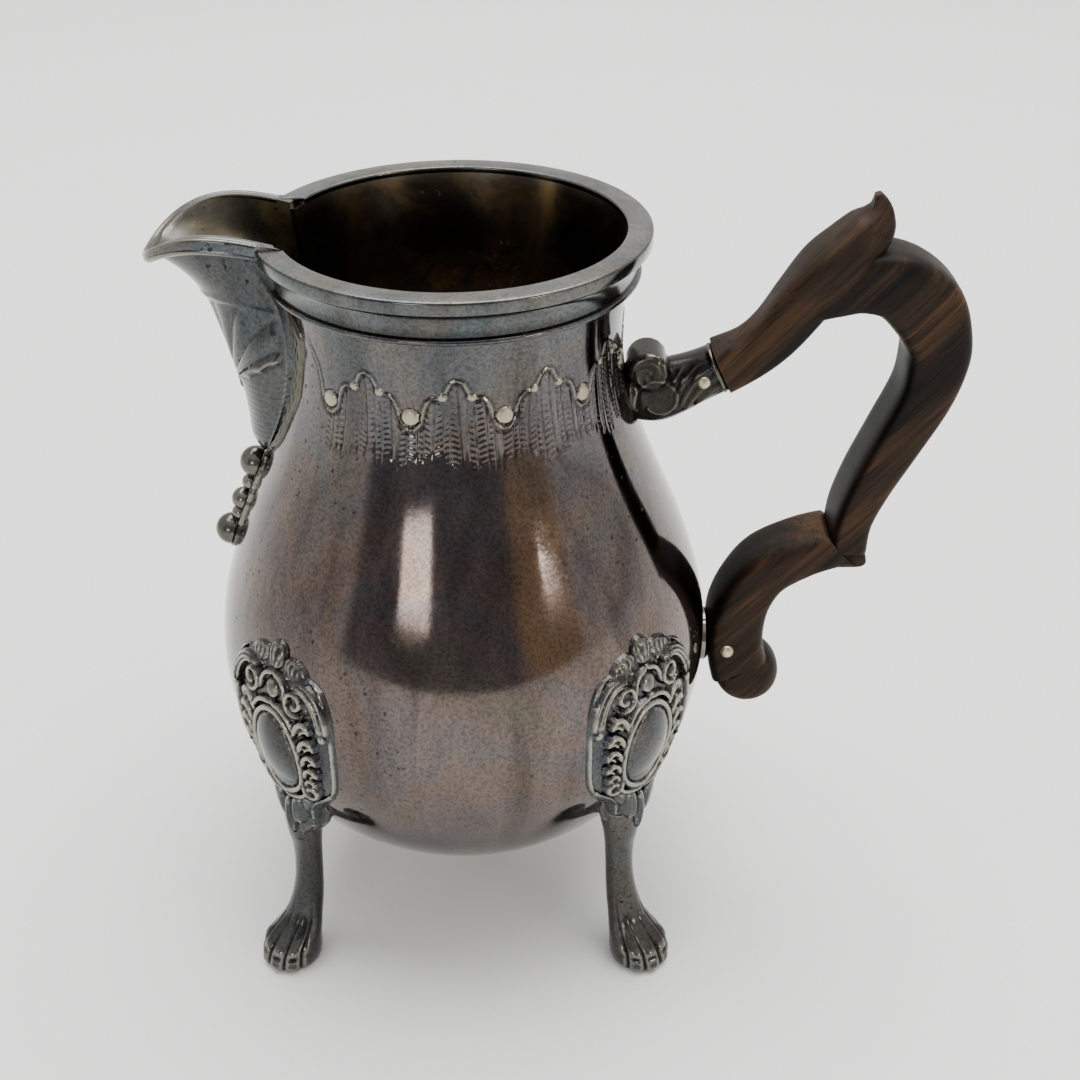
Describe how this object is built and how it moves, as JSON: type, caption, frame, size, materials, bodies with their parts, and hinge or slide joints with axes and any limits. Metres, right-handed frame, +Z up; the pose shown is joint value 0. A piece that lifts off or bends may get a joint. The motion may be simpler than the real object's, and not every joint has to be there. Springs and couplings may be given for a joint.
{
  "type": "cream jug",
  "caption": "Pear-shaped silver cream jug with beak spout, moulded rim, paw feet under oval cartouches and a carved wooden scroll handle.",
  "frame": {"origin": "on the table, under the centre of the bounding box", "axes": "+Z up, the spout points to -X, the handle to +X"},
  "size_m": [0.122, 0.08, 0.1234],
  "materials": {
    "tarnished_silver": "tarnished polished silver",
    "worn_silver": "tarnished silver, worn lighter on top",
    "pin_metal": "worn pale pin heads",
    "rosewood": "oiled dark rosewood"
  },
  "bodies": {
    "root": {"body_shell": "tarnished_silver", "rim_moulding": "worn_silver", "spout_shell": "tarnished_silver", "spout_lip_strip": "worn_silver", "spout_leaf_border": "tarnished_silver", "bead_drop": "tarnished_silver", "cartouche_front_left": "tarnished_silver", "cartouche_front_right": "tarnished_silver", "cartouche_back_left": "tarnished_silver", "cartouche_back_right": "tarnished_silver", "leg_front_left": "tarnished_silver", "leg_front_right": "tarnished_silver", "leg_back_left": "tarnished_silver", "leg_back_right": "tarnished_silver", "handle_socket": "tarnished_silver", "wood_handle": "rosewood", "upper_pin": "pin_metal", "lower_peg": "tarnished_silver", "lower_pin": "pin_metal"}
  },
  "joints": []
}
